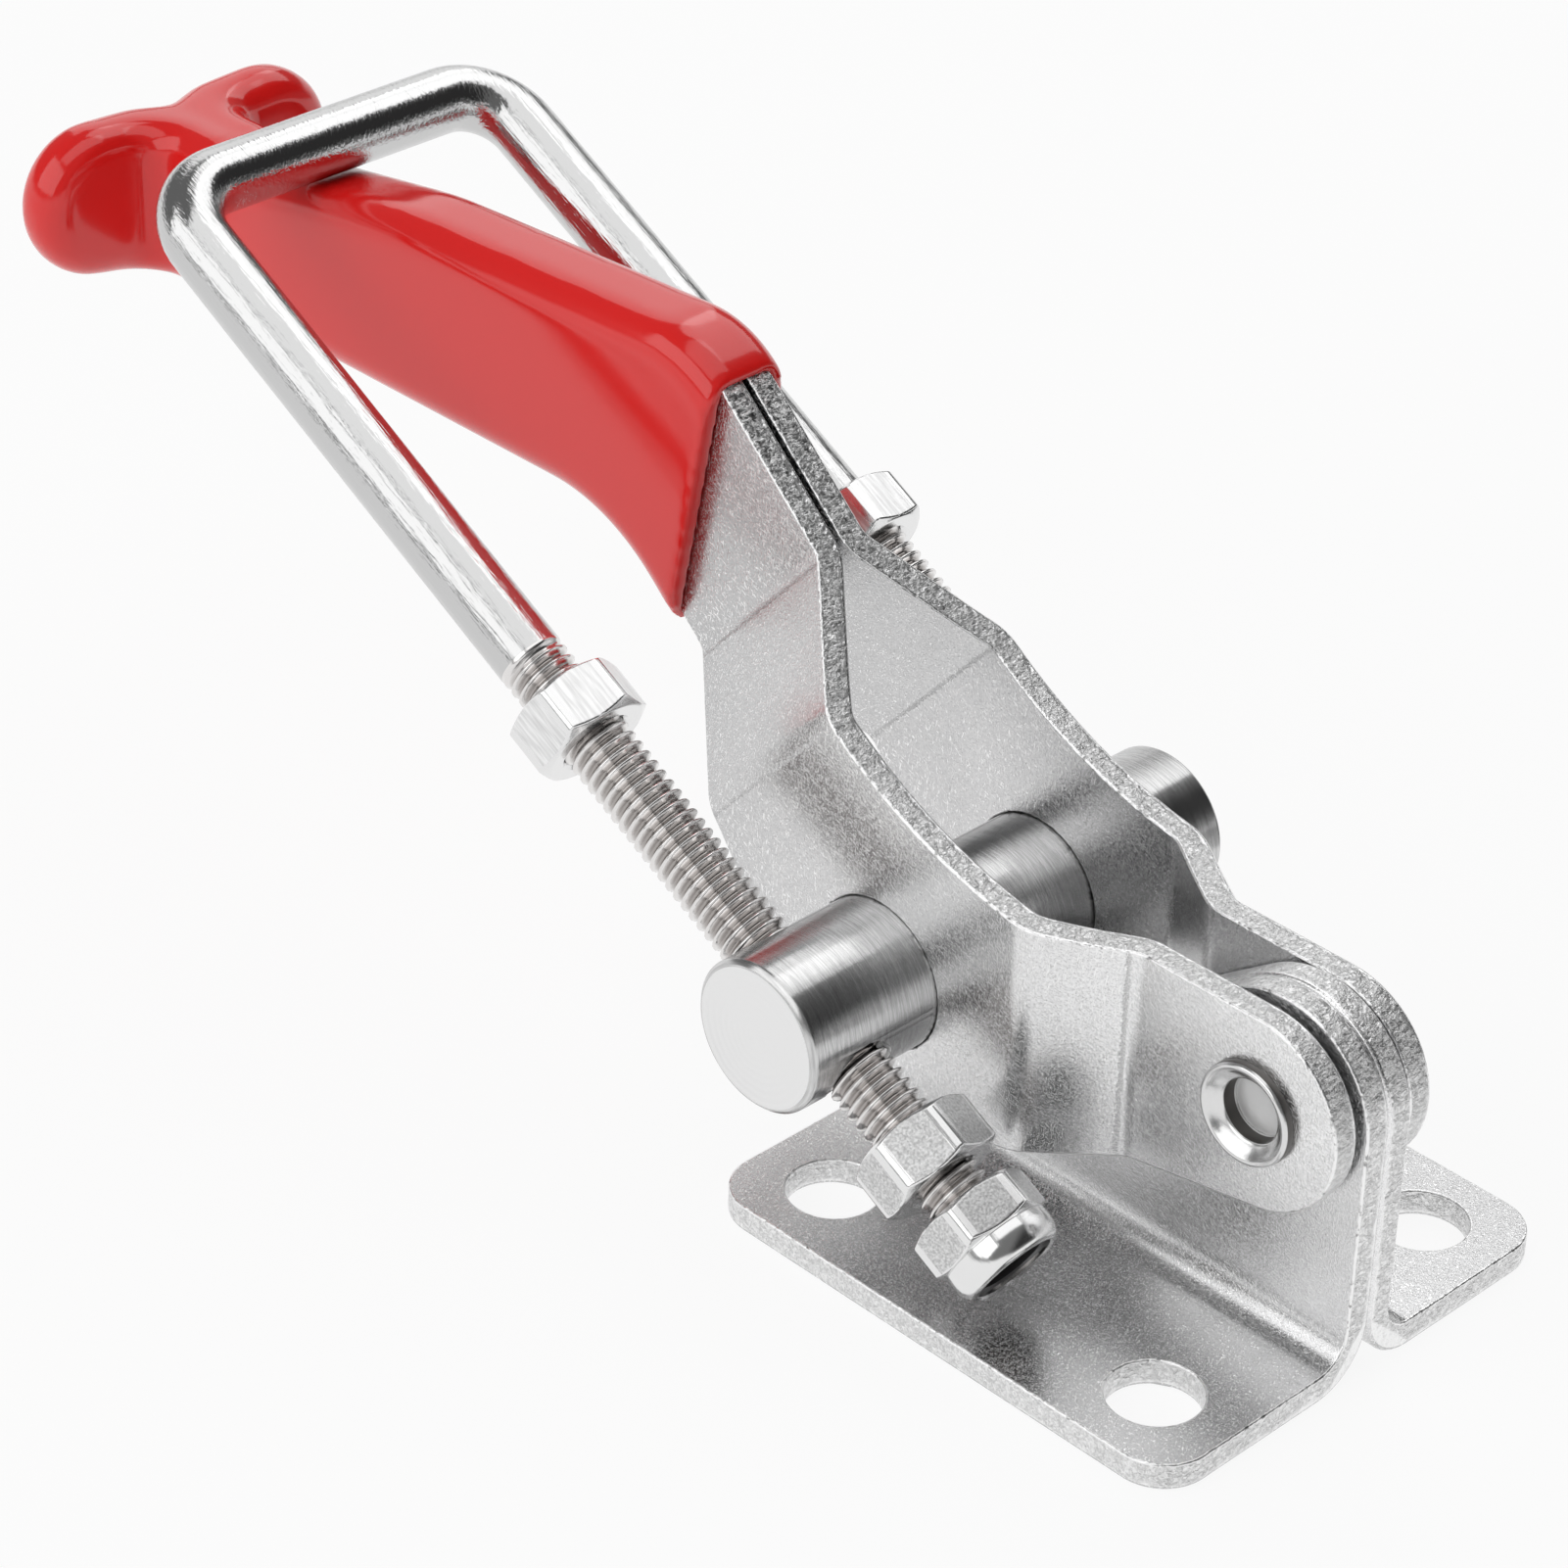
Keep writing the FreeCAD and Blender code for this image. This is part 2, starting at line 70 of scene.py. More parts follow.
def finish_mesh(piece, angle):
    """Closes seams, turns faces outwards and shades smoothly up to an angle in degrees."""
    pick(piece)
    bpy.ops.object.mode_set(mode="EDIT")
    bpy.ops.mesh.select_all(action="SELECT")
    bpy.ops.mesh.remove_doubles(threshold=weld)
    bpy.ops.mesh.normals_make_consistent(inside=False)
    bpy.ops.object.mode_set(mode="OBJECT")
    bpy.ops.object.shade_smooth_by_angle(angle=math.radians(angle))


# %% [markdown]
# The camera stands where the photographer stood. Its direction, distance and lens were worked
# out from the holes, the ears and the cross pin, whose places the CAD model knows.

# %% Camera
photo_width = 1601
focal_pixels = 4851.832
sensor_mm = 36.0
look_at = Vector((-25.65, 0.0, 0.0))
azimuth, elevation, roll = math.radians(45.104), math.radians(32.21), math.radians(1.47)
distance, aside, above = 537.89, -19.61, 38.775

back = Vector((math.sin(azimuth) * math.cos(elevation),
               -math.cos(azimuth) * math.cos(elevation), math.sin(elevation)))
level_right = Vector((math.cos(azimuth), math.sin(azimuth), 0.0))
level_up = back.cross(level_right)
right = math.cos(roll) * level_right + math.sin(roll) * level_up
up = -math.sin(roll) * level_right + math.cos(roll) * level_up
camera_place = (look_at + back * distance + right * aside + up * above) * mm

bpy.ops.object.select_all(action="DESELECT")
bpy.ops.object.camera_add(location=camera_place)
camera = bpy.context.object
camera.name = "photo_camera"
camera.matrix_world = Matrix((
    (right.x, up.x, back.x, camera_place.x),
    (right.y, up.y, back.y, camera_place.y),
    (right.z, up.z, back.z, camera_place.z),
    (0.0, 0.0, 0.0, 1.0),
))
camera.data.sensor_width = sensor_mm
camera.data.lens = focal_pixels * sensor_mm / photo_width
camera.data.clip_start = 10 * mm
bpy.context.scene.camera = camera
print("lens in mm:", round(camera.data.lens, 2))

# %% [markdown]
# Colours are written as on a web page, in sRGB, and shaders want linear light, so one function
# turns them over. A second one adds a node, with its settings and with its sockets filled by
# numbers or by links. A third one gives a finish the small dents that no real surface lacks.

# %% Colours and nodes


def linear(hex_colour):
    """Linear colour for an sRGB one such as #C8C8C6."""
    channels = [int(hex_colour[place:place + 2], 16) / 255 for place in (1, 3, 5)]
    light = [c / 12.92 if c <= 0.04045 else ((c + 0.055) / 1.055) ** 2.4 for c in channels]
    return (*light, 1.0)


def add_node(tree, kind, sockets=None, **settings):
    """Adds a node, sets it up and fills its sockets with values or links."""
    node = tree.nodes.new(kind)
    for setting, value in settings.items():
        setattr(node, setting, value)
    for socket, value in (sockets or {}).items():
        if isinstance(value, bpy.types.NodeSocket):
            tree.links.new(value, node.inputs[socket])
        else:
            node.inputs[socket].default_value = value
    return node


def new_finish(name, colour, metallic, roughness):
    """A material with its shader's own sockets set. Returns it, its tree and its shader."""
    finish = bpy.data.materials.new(name)
    finish.use_nodes = True
    shader = finish.node_tree.nodes["Principled BSDF"]
    shader.inputs["Base Color"].default_value = linear(colour)
    shader.inputs["Metallic"].default_value = metallic
    shader.inputs["Roughness"].default_value = roughness
    return finish, finish.node_tree, shader


def per_mm(size):
    """Texture scale for a pattern whose grains are this many millimetres wide."""
    return 1.0 / (size * mm)


def dented(tree, shader, size, detail, strength, depth):
    """Gives a finish small soft dents, of a size and a depth in millimetres."""
    spot = add_node(tree, "ShaderNodeTexCoord").outputs["Object"]
    dents = add_node(tree, "ShaderNodeTexNoise", {"Vector": spot, "Scale": per_mm(size),
                                                  "Detail": detail})
    bump = add_node(tree, "ShaderNodeBump", {"Height": dents.outputs[0], "Strength": strength,
                                             "Distance": depth * mm})
    tree.links.new(bump.outputs[0], shader.inputs["Normal"])


# %% [markdown]
# Steel shows what stands round it. The floor is a white sheet that keeps a soft shadow, and the
# light path node makes it look as white in the steel as it does to the eye. Round the latch
# stands a tent of wide soft boxes, each about as bright as white paper, so they give polished
# steel its long white bands and burn nothing out. The narrow gaps between them, and the dim
# corner that is left open at the back right, draw its dark lines.

# %% Floor
bpy.ops.object.select_all(action="DESELECT")
bpy.ops.mesh.primitive_plane_add(size=3.0, location=(0.0, 0.0, -0.05 * mm))
floor = bpy.context.object
floor.name = "white_floor"
floor_finish = bpy.data.materials.new("white_paper_sweep")
floor_finish.use_nodes = True
tree = floor_finish.node_tree
tree.nodes.clear()
rays = add_node(tree, "ShaderNodeLightPath")
seen = add_node(tree, "ShaderNodeMath", {0: rays.outputs["Is Camera Ray"],
                                         1: rays.outputs["Is Glossy Ray"]},
                operation="MAXIMUM")
seen = add_node(tree, "ShaderNodeMath", {0: seen.outputs[0],
                                         1: rays.outputs["Is Transmission Ray"]},
                operation="MAXIMUM")
share = add_node(tree, "ShaderNodeMath", {0: seen.outputs[0], 1: 0.9}, operation="MULTIPLY")
paper = add_node(tree, "ShaderNodeBsdfDiffuse", {"Color": linear("#F8F8F8")})
glow = add_node(tree, "ShaderNodeEmission", {"Color": (1.0, 1.0, 1.0, 1.0), "Strength": 1.0})
sweep = add_node(tree, "ShaderNodeMixShader", {0: share.outputs[0], 1: paper.outputs[0],
                                               2: glow.outputs[0]})
add_node(tree, "ShaderNodeOutputMaterial", {"Surface": sweep.outputs[0]})
floor.data.materials.append(floor_finish)

# %% Room and soft boxes
world = bpy.data.worlds.new("studio")
bpy.context.scene.world = world
world.use_nodes = True
tree = world.node_tree
tree.nodes.clear()
sky = add_node(tree, "ShaderNodeTexCoord")
height = add_node(tree, "ShaderNodeSeparateXYZ", {0: sky.outputs["Generated"]})
walls = add_node(tree, "ShaderNodeValToRGB", {0: height.outputs["Z"]})
for step, place, level in ((0, 0.08, 1.0), (1, 0.20, 0.18)):
    walls.color_ramp.elements[step].position = place
    walls.color_ramp.elements[step].color = (level, level, level, 1.0)
to_corner = add_node(tree, "ShaderNodeVectorMath", {0: sky.outputs["Generated"],
                                                    1: (0.8, 0.6, 0.0)}, operation="DOT_PRODUCT")
corner_dim = add_node(tree, "ShaderNodeMapRange", {"Value": to_corner.outputs["Value"],
                                                   "From Min": 0.5, "From Max": 0.75,
                                                   "To Min": 1.0, "To Max": 0.2})
room = add_node(tree, "ShaderNodeMath", {0: walls.outputs[0], 1: corner_dim.outputs[0]},
                operation="MULTIPLY")
surround = add_node(tree, "ShaderNodeBackground", {"Color": room.outputs[0], "Strength": 1.0})
add_node(tree, "ShaderNodeOutputWorld", {"Surface": surround.outputs[0]})


lamp_distance = 900


def soft_box(name, towards, width, length, brightness):
    """A wide lamp in a direction, as bright as a number of times white paper."""
    place = Vector(towards).normalized() * lamp_distance * mm
    bpy.ops.object.select_all(action="DESELECT")
    bpy.ops.object.light_add(type="AREA", location=place)
    lamp = bpy.context.object
    lamp.name = name
    lamp.data.shape = "RECTANGLE"
    lamp.data.size = width * mm
    lamp.data.size_y = length * mm
    lamp.data.energy = math.pi * lamp.data.size * lamp.data.size_y * brightness
    lamp.rotation_euler = (-place).to_track_quat("-Z", "Y").to_euler()


soft_box("soft_box_front", (-0.16, -0.78, 0.61), 1200, 640, 1.4)
soft_box("soft_box_above", (0.03, 0.0, 1.0), 1000, 540, 1.05)
soft_box("soft_box_back", (-0.26, 0.60, 0.76), 600, 560, 1.45)
soft_box("soft_box_left", (-0.70, 0.45, 0.50), 480, 480, 0.95)

# %% [markdown]
# Photographers lay a dark card beside bright metal to draw its form. One lies on the floor at
# the back right. Only the steel sees it, as the dark lower half of the U-bolt's closed end.

# %% Dark card
bpy.ops.object.select_all(action="DESELECT")
bpy.ops.mesh.primitive_plane_add(size=1.0, location=(69 * mm, 199 * mm, 1.0 * mm),
                                 rotation=(0.0, 0.0, math.radians(45)))
card = bpy.context.object
card.name = "dark_card"
card.scale = (260 * mm, 90 * mm, 1.0)
bpy.ops.object.transform_apply(location=False, rotation=False, scale=True)
card.data.materials.append(new_finish("black_card_matt", "#1C1C1C", 0.0, 0.9)[0])
card.visible_camera = card.visible_diffuse = card.visible_shadow = False

# %% [markdown]
# Stainless sheet that has been tumbled after pressing: satin, with a fine frosty grain from the
# stones, softly uneven patches and many short scratches that catch the light. The grains are
# drawn at a third of a millimetre, coarser than the real ones, so that they show. Scratches are
# noise stretched in three directions, so that no direction stands out. Where the press folded
# the sheet, its tool left a faint, broken line. Light is painted into the colour as well: the
# neck and the flanges are painted darker, and the ears and the webs paler, as painted
# reflection of the darker and brighter parts of the studio that they mirror.

# %% Tumbled stainless sheet


def scratched(tree, spot, length, slenderness, turns, least, most):
    """Sparse scratches of a length in millimetres, 0 or 1, laid in several directions."""
    together = 0.0
    for turn in turns:
        thin = 1.0 / slenderness
        drawn = add_node(tree, "ShaderNodeMapping", {"Vector": spot, "Rotation": turn,
                                                     "Scale": (1.0, thin, thin)},
                         vector_type="TEXTURE")
        streak = add_node(tree, "ShaderNodeTexNoise", {"Vector": drawn.outputs[0],
                                                       "Scale": per_mm(length), "Detail": 1.0})
        sharp = add_node(tree, "ShaderNodeMapRange", {"Value": streak.outputs[0],
                                                      "From Min": least, "From Max": most})
        together = add_node(tree, "ShaderNodeMath", {0: sharp.outputs[0], 1: together},
                            operation="MAXIMUM").outputs[0]
    return together


def press_lines(tree, spot, folds, shake):
    """Thin lines, 0 or 1, where a fold's plane (its direction and place in mm) cuts the sheet."""
    together = 0.0
    for direction, place in folds:
        reach = add_node(tree, "ShaderNodeVectorMath", {0: spot, 1: direction},
                         operation="DOT_PRODUCT")
        off = add_node(tree, "ShaderNodeMath", {0: reach.outputs["Value"], 1: place * mm},
                       operation="SUBTRACT")
        off = add_node(tree, "ShaderNodeMath", {0: shake, 1: -1.2 * mm, 2: off.outputs[0]},
                       operation="MULTIPLY_ADD")
        off = add_node(tree, "ShaderNodeMath", {0: off.outputs[0], 1: 0.6 * mm}, operation="ADD")
        off = add_node(tree, "ShaderNodeMath", {0: off.outputs[0]}, operation="ABSOLUTE")
        line = add_node(tree, "ShaderNodeMapRange", {"Value": off.outputs[0], "From Max": 0.22 * mm,
                                                     "To Min": 1.0, "To Max": 0.0})
        together = add_node(tree, "ShaderNodeMath", {0: line.outputs[0], 1: together},
                            operation="MAXIMUM").outputs[0]
    return together


def tumbled_sheet(name, folds, way, shaded_at, lit_at):
    """Satin sheet with press lines and painted light: paler along a way between places in mm."""
    finish, tree, shader = new_finish(name, "#D6D6D6", 1.0, 0.3)
    spot = add_node(tree, "ShaderNodeTexCoord").outputs["Object"]
    frost = add_node(tree, "ShaderNodeTexNoise", {"Vector": spot, "Scale": per_mm(0.34),
                                                  "Detail": 4.0, "Roughness": 0.65})
    patches = add_node(tree, "ShaderNodeTexNoise", {"Vector": spot, "Scale": per_mm(7.0),
                                                    "Detail": 3.0})
    scratches = scratched(tree, spot, 1.5, 9.0, ((0.3, 0.4, 0.2), (1.1, 1.7, 0.9), (0.7, 2.8, 2.1)),
                          0.61, 0.68)
    lines = press_lines(tree, spot, folds, frost.outputs[0])
    grain = add_node(tree, "ShaderNodeMapRange", {"Value": frost.outputs[0], "From Min": 0.35,
                                                  "From Max": 0.65})
    matt = add_node(tree, "ShaderNodeMapRange", {"Value": grain.outputs[0], "To Min": 0.10,
                                                 "To Max": 0.23})
    cloudy = add_node(tree, "ShaderNodeMapRange", {"Value": patches.outputs[0], "From Min": 0.3,
                                                   "From Max": 0.7, "To Min": -0.05,
                                                   "To Max": 0.07})
    uneven = add_node(tree, "ShaderNodeMath", {0: matt.outputs[0], 1: cloudy.outputs[0]})
    tree.links.new(uneven.outputs[0], shader.inputs["Roughness"])
    relief = add_node(tree, "ShaderNodeMath", {0: scratches, 1: 0.6, 2: frost.outputs[0]},
                      operation="MULTIPLY_ADD")
    relief = add_node(tree, "ShaderNodeMath", {0: lines, 1: -1.5, 2: relief.outputs[0]},
                      operation="MULTIPLY_ADD")
    bump = add_node(tree, "ShaderNodeBump", {"Height": relief.outputs[0], "Strength": 0.8,
                                             "Distance": 0.04 * mm})
    tree.links.new(bump.outputs[0], shader.inputs["Normal"])
    # Painted reflection: the tint runs from a shaded grey at one place to a lit grey at the other.
    along = add_node(tree, "ShaderNodeVectorMath", {0: spot, 1: way}, operation="DOT_PRODUCT")
    wear_and_painted_light = add_node(tree, "ShaderNodeMapRange", {"Value": along.outputs["Value"],
                                                 "From Min": shaded_at * mm,
                                                 "From Max": lit_at * mm})
    shaded_tint = add_node(tree, "ShaderNodeMix", {"Factor": grain.outputs[0], 6: linear("#B5B5B6"),
                                            7: linear("#CACACA")}, data_type="RGBA")
    lit_tint = add_node(tree, "ShaderNodeMix", {"Factor": grain.outputs[0], 6: linear("#E5E5E6"),
                                              7: linear("#F9F9F9")}, data_type="RGBA")
    tint = add_node(tree, "ShaderNodeMix", {"Factor": wear_and_painted_light.outputs[0], 6: shaded_tint.outputs[2],
                                            7: lit_tint.outputs[2]}, data_type="RGBA")
    rubbed = add_node(tree, "ShaderNodeMix", {"Factor": scratches, 6: tint.outputs[2],
                                              7: linear("#F6F6F6")}, data_type="RGBA")
    tree.links.new(rubbed.outputs[2], shader.inputs["Base Color"])
    return finish


neck_lean = math.radians(42.3)
up_neck = Vector((-math.cos(neck_lean), 0.0, math.sin(neck_lean)))
pin_axis = Vector((-25.7, 0.0, 27.6))
from_pin = pin_axis.dot(up_neck)
plate_folds = [(up_neck, from_pin + 24.5), (up_neck, from_pin + 41.2),
               (Vector((1.0, 0.0, 0.0)), 4.7)]
# Painted reflection: the plates darken towards the neck, the brackets towards the flanges.
plate_sheet = tumbled_sheet("stainless_plate_tumbled", plate_folds, (1.0, 0.0, 0.0), -62, 10)
bracket_sheet = tumbled_sheet("stainless_bracket_tumbled", [], (0.0, 0.0, 1.0), 3, 8)

# %% [markdown]
# A punched edge is not as smooth as the skin. On the side where the punch came in, the sheet is
# drawn round. Below that a narrow band is sheared smooth, and the rest is torn: grey, with a
# curly grain that runs across the sheet and glints. In the narrow neck the torn grey is painted
# much darker, as painted shade between the plates. The mesh carries how far across the sheet
# each point is as a UV map, so the zones follow every bend.

# %% Punched edge


def punched_edge(name, painted_neck_shade, dark, pale):
    """A cut edge, torn from a dark to a pale grey, with painted shade darkest in the neck."""
    finish, tree, shader = new_finish(name, pale, 1.0, 0.36)
    across = add_node(tree, "ShaderNodeUVMap", uv_map="across")
    zone = add_node(tree, "ShaderNodeSeparateXYZ", {0: across.outputs[0]})
    spot = add_node(tree, "ShaderNodeTexCoord").outputs["Object"]
    dents = add_node(tree, "ShaderNodeTexNoise", {"Vector": spot, "Scale": per_mm(1.5),
                                                  "Detail": 3.0})
    shaky = add_node(tree, "ShaderNodeMath", {0: dents.outputs[0], 1: 0.3, 2: zone.outputs["Y"]},
                     operation="MULTIPLY_ADD")
    torn = add_node(tree, "ShaderNodeMapRange", {"Value": shaky.outputs[0], "From Min": 0.28,
                                                 "From Max": 0.42})
    drawn = add_node(tree, "ShaderNodeMapping", {"Vector": spot, "Scale": (1.0, 0.6, 1.0)})
    grain = add_node(tree, "ShaderNodeTexNoise", {"Vector": drawn.outputs[0], "Scale": per_mm(0.45),
                                                  "Detail": 3.0, "Roughness": 0.6,
                                                  "Distortion": 1.2})
    crumbs = add_node(tree, "ShaderNodeMapRange", {"Value": grain.outputs[0], "From Min": 0.40,
                                                   "From Max": 0.60})
    # Painted shade: towards the neck the torn grey darkens to the painted shade colour.
    forward = add_node(tree, "ShaderNodeSeparateXYZ", {0: spot})
    clear_of_neck_shade = add_node(tree, "ShaderNodeMapRange", {"Value": forward.outputs["X"],
                                                    "From Min": -58 * mm, "From Max": -28 * mm})
    neck_shaded_tint = add_node(tree, "ShaderNodeMix", {"Factor": clear_of_neck_shade.outputs[0], 6: linear(painted_neck_shade),
                                                7: linear(dark)}, data_type="RGBA")
    torn_tint = add_node(tree, "ShaderNodeMix", {"Factor": crumbs.outputs[0],
                                                 6: neck_shaded_tint.outputs[2],
                                                 7: linear(pale)}, data_type="RGBA")
    edge_tint = add_node(tree, "ShaderNodeMix", {"Factor": torn.outputs[0], 6: linear(pale),
                                                 7: torn_tint.outputs[2]}, data_type="RGBA")
    tree.links.new(edge_tint.outputs[2], shader.inputs["Base Color"])
    teeth = add_node(tree, "ShaderNodeMath", {0: torn.outputs[0], 1: 0.75, 2: 0.25},
                     operation="MULTIPLY_ADD")
    teeth = add_node(tree, "ShaderNodeMath", {0: grain.outputs[0], 1: teeth.outputs[0]},
                     operation="MULTIPLY")
    relief = add_node(tree, "ShaderNodeMath", {0: dents.outputs[0], 1: 2.0, 2: teeth.outputs[0]},
                      operation="MULTIPLY_ADD")
    bump = add_node(tree, "ShaderNodeBump", {"Height": relief.outputs[0], "Strength": 1.0,
                                             "Distance": 0.25 * mm})
    tree.links.new(bump.outputs[0], shader.inputs["Normal"])
    return finish


# The plates' first grey is painted shade in the neck. The brackets' equals their torn grey.
plate_edge = punched_edge("stainless_plate_edge_torn", "#5E5E5E", "#D0D0D0", "#F2F2F2")
bracket_edge = punched_edge("stainless_bracket_edge_tumbled", "#D4D4D4", "#D4D4D4", "#FAFAFA")

# %% [markdown]
# On the side where the punch came out it leaves a burr, which tumbling beats down to a bright,
# ragged line with dark nicks in it.

# %% Rubbed burr
burr, tree, shader = new_finish("stainless_burr_rubbed", "#F0F0F0", 1.0, 0.3)
spot = add_node(tree, "ShaderNodeTexCoord").outputs["Object"]
nicks = add_node(tree, "ShaderNodeTexNoise", {"Vector": spot, "Scale": per_mm(0.8), "Detail": 4.0})
wear_and_painted_light = add_node(tree, "ShaderNodeMapRange", {"Value": nicks.outputs[0], "From Min": 0.33,
                                             "From Max": 0.43})
burr_tint = add_node(tree, "ShaderNodeMix", {"Factor": wear_and_painted_light.outputs[0], 6: linear("#A2A2A2"),
                                             7: linear("#FAFAFA")}, data_type="RGBA")
tree.links.new(burr_tint.outputs[2], shader.inputs["Base Color"])
bump = add_node(tree, "ShaderNodeBump", {"Height": nicks.outputs[0], "Strength": 1.0,
                                         "Distance": 0.25 * mm})
tree.links.new(bump.outputs[0], shader.inputs["Normal"])

# %% [markdown]
# The brackets and plates are sheet metal, so their shapes come from the CAD model: a copy of
# its mesh is merged, and its flat faces are joined up again. Then the faces are sorted into
# skins and cut edges. The edge on the burr's side gets a narrow bevel, which draws the bright
# outline, and the one on the punch's side is drawn round.

# %% Sheet metal pieces
sheet = 3.4 * mm
bend_zone = 8 * mm
burr_width = 0.25 * mm
drawn_round = 0.5 * mm


def copy_of(node, name):
    """A merged copy of a CAD node's mesh as a piece of its own, with its flat faces joined."""
    piece = bpy.data.objects.new(name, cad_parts[node].data.copy())
    piece.data.materials.clear()
    bpy.context.scene.collection.objects.link(piece)
    pick(piece)
    bpy.ops.object.mode_set(mode="EDIT")
    bpy.ops.mesh.select_all(action="SELECT")
    bpy.ops.mesh.remove_doubles(threshold=weld)
    bpy.ops.mesh.dissolve_limited(angle_limit=math.radians(0.3))
    bpy.ops.object.mode_set(mode="OBJECT")
    return piece


def bevel_between(piece, sorted_out, width, segments, slot):
    """Bevels the edges between faces that a function sorts differently."""
    mesh = piece.data
    kind_of = {}
    for face in mesh.polygons:
        for key in face.edge_keys:
            kind_of.setdefault(key, set()).add(sorted_out(face))
    pick(piece)
    bpy.ops.object.mode_set(mode="EDIT")
    bpy.ops.mesh.select_mode(type="EDGE")
    bpy.ops.mesh.select_all(action="DESELECT")
    bpy.ops.object.mode_set(mode="OBJECT")
    for edge in mesh.edges:
        edge.select = len(kind_of[edge.key]) > 1
    bpy.ops.object.mode_set(mode="EDIT")
    bpy.ops.mesh.bevel(offset=width, segments=segments, affect="EDGES", clamp_overlap=False)
    piece.active_material_index = slot
    bpy.ops.object.material_slot_assign()
    bpy.ops.object.mode_set(mode="OBJECT")


def dress_sheet(piece, skin, edge, is_cut, burr_side):
    """Sorts a sheet's faces, maps its cut edges across the sheet and dresses its outline."""
    mesh = piece.data
    for finish in (skin, edge, burr):
        mesh.materials.append(finish)
    rough = set()
    for face in mesh.polygons:
        face.material_index = 1 if is_cut(face) else 0
        if face.material_index == 0 and burr_side(face):
            rough.update(face.vertices)
    for layer in list(mesh.uv_layers):
        mesh.uv_layers.remove(layer)
    across = mesh.uv_layers.new(name="across")
    for face in mesh.polygons:
        for loop in face.loop_indices:
            side = 1.0 if mesh.loops[loop].vertex_index in rough else 0.0
            across.data[loop].uv = (0.5, side)
    bevel_between(piece, lambda face: face.material_index == 0 and burr_side(face),
                  burr_width, 2, 2)
    bevel_between(piece, lambda face: face.material_index == 0 and not burr_side(face),
                  drawn_round, 4, 0)
    bpy.ops.object.shade_smooth_by_angle(angle=math.radians(40))
    weighted = piece.modifiers.new("flat_faces", "WEIGHTED_NORMAL")
    weighted.keep_sharp = True
    pick(piece)
    bpy.ops.object.modifier_apply(modifier=weighted.name)


def plate_cut(face):
    """A cut face hardly leans sideways. A bend of the tail's tab may too, but looks along X."""
    lean = abs(face.normal.y)
    return lean < 0.02 or (lean < 0.3 and abs(face.normal.x) < 0.999)


def bracket_cut(face):
    """A bracket's skins are its web, its flange and the bend between them."""
    middle = face.center
    web = abs(face.normal.y) > 0.99 and abs(middle.y) < sheet * 1.02
    flange = abs(face.normal.z) > 0.99 and middle.z < sheet * 1.02
    bend = abs(face.normal.x) < 0.02 and abs(middle.y) < bend_zone and middle.z < bend_zone
    return not (web or flange or bend)


for side, sign in (("left", 1), ("right", -1)):
    plate = copy_of("handle_plate_" + side, "plate_" + side)
    dress_sheet(plate, plate_sheet, plate_edge, plate_cut, lambda face: face.normal.y < 0)
    fit(plate, "handle", "handle_plate_" + side)
    bracket = copy_of("base_bracket_" + side, "bracket_" + side)
    dress_sheet(bracket, bracket_sheet, bracket_edge, bracket_cut,
                lambda face: face.normal.y * sign > 0.3 or face.normal.z > 0.3)
    fit(bracket, "base", "base_bracket_" + side)

# %% [markdown]
# The U-bolt starts as a straight bar. Its two ends are threaded and chamfered, and then it is
# bent twice. The same order works here: a grid is rolled up into a long tube whose rows lie
# close together where the thread comes, the thread is pressed in by moving each point in or
# out along a helix, and the tube is then laid along the bent path.

# %% Where the U-bolt runs
rod_radius = 3.97
rod_up = Vector((-0.88183, 0.0, 0.47157)).normalized()
rod_side = Vector((rod_up.z, 0.0, -rod_up.x))
rod_lean = math.atan2(rod_up.z, -rod_up.x)
leg_place, loop_top, loop_bend, leg_foot = 24.4, 121.5, 7.6, -34.7
thread_pitch, thread_depth, thread_top = 1.411, 0.80, 50.6
straight = loop_top - loop_bend - leg_foot
quarter = loop_bend * math.pi / 2
bar = 2 * (leg_place - loop_bend)
rod_length = 2 * straight + 2 * quarter + bar
print("rod before bending, mm:", round(rod_length, 1))


def bent(along):
    """Centre and sideways direction of the bent rod, at a distance along it in millimetres."""
    mirrored = along > rod_length / 2
    if mirrored:
        along = rod_length - along
    if along <= straight:
        high, wide, lean = leg_foot + along, leg_place, 0.0
    elif along <= straight + quarter:
        lean = (along - straight) / loop_bend
        high = loop_top - loop_bend + loop_bend * math.sin(lean)
        wide = leg_place - loop_bend + loop_bend * math.cos(lean)
    else:
        lean = math.pi / 2
        high, wide = loop_top, leg_place - loop_bend - (along - straight - quarter)
    sideways = rod_up * math.sin(lean) + Vector((0.0, math.cos(lean), 0.0))
    centre = pin_axis + rod_up * high + Vector((0.0, wide, 0.0))
    if mirrored:
        centre.y = -centre.y
        sideways.y = -sideways.y
    return centre, sideways


def thread_radius(high, angle):
    """Radius of the threaded leg at a height and an angle: 60 degree flanks, rounded crests."""
    phase = (high / thread_pitch + angle / math.tau) % 1.0
    from_crest = abs(2.0 * phase - 1.0)
    cut = min(max((from_crest - 0.14) / 0.66, 0.0), 1.0)
    cut = 0.5 * cut + 0.5 * cut * cut * (3.0 - 2.0 * cut)
    fade = min(max((thread_top - high) / (1.2 * thread_pitch), 0.0), 1.0)
    return rod_radius - thread_depth * cut * fade


# %% Roll a tube from a grid


def rolled_tube(name, rows, columns, place):
    """A grid rolled into a tube. place(row, column) gives each point in millimetres."""
    bpy.ops.object.select_all(action="DESELECT")
    bpy.ops.mesh.primitive_grid_add(x_subdivisions=columns, y_subdivisions=rows, size=1.0)
    tube = bpy.context.object
    tube.name = tube.data.name = name
    for point in tube.data.vertices:
        column = round((point.co.x + 0.5) * columns)
        row = round((point.co.y + 0.5) * rows)
        point.co = place(row, column % columns) * mm
    return tube


